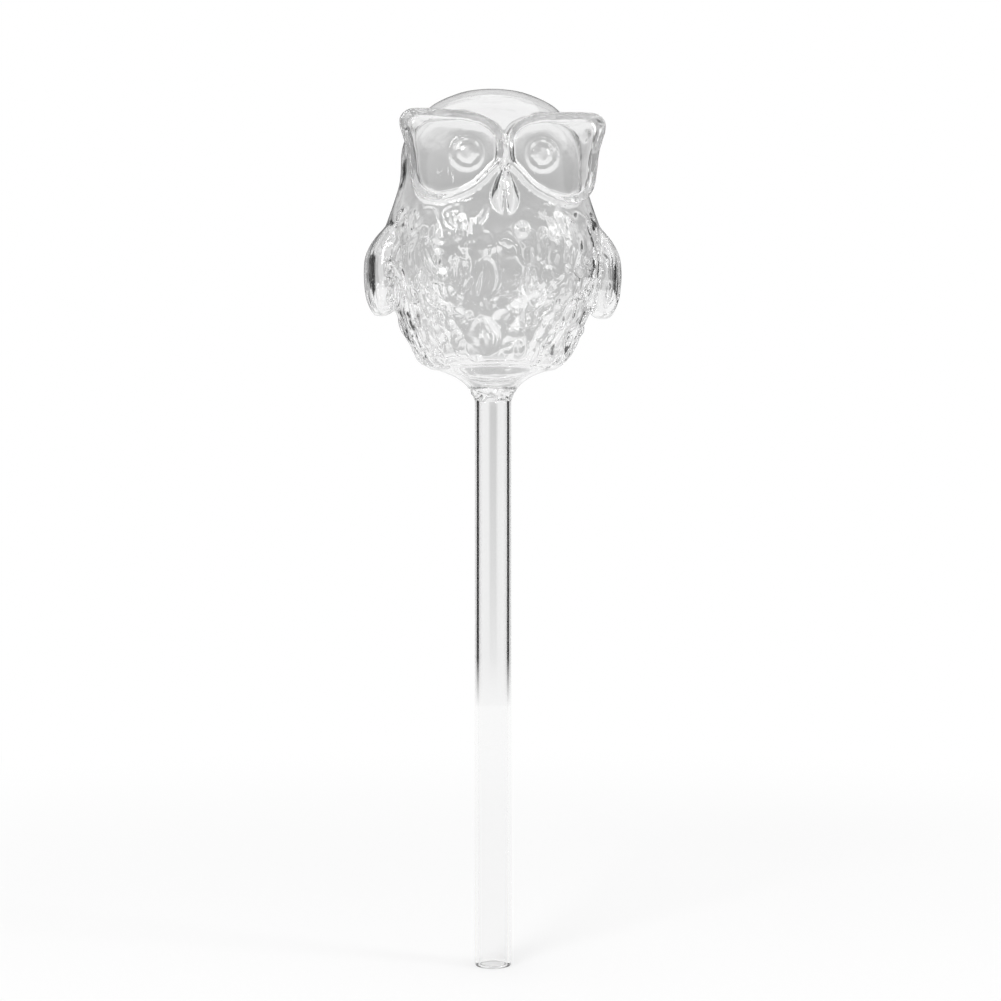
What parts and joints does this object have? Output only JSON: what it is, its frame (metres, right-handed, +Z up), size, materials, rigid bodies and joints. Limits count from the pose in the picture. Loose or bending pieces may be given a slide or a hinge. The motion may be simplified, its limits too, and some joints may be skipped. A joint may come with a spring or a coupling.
{
  "type": "watering globe",
  "caption": "Clear blown-glass watering globe: an owl-shaped hollow bulb on a straight open tube that is pushed into potting soil and lets the water seep out at its tip.",
  "frame": {"origin": "centre of the stem tube's open tip, the end that goes into the soil", "axes": "+Z up along the stem tube towards the bulb, the owl looks along -Y, +X to its left"},
  "size_m": [0.0714, 0.0544, 0.24],
  "materials": {
    "blown_glass": "clear mould-blown borosilicate glass, fire-bright",
    "sealed_glass": "clear remelted borosilicate glass with small bubbles",
    "tube_glass": "clear drawn borosilicate tube, fire-polished tip"
  },
  "bodies": {
    "root": {"owl_bulb": "blown_glass", "neck_seal": "sealed_glass", "stem_tube": "tube_glass"}
  },
  "joints": []
}
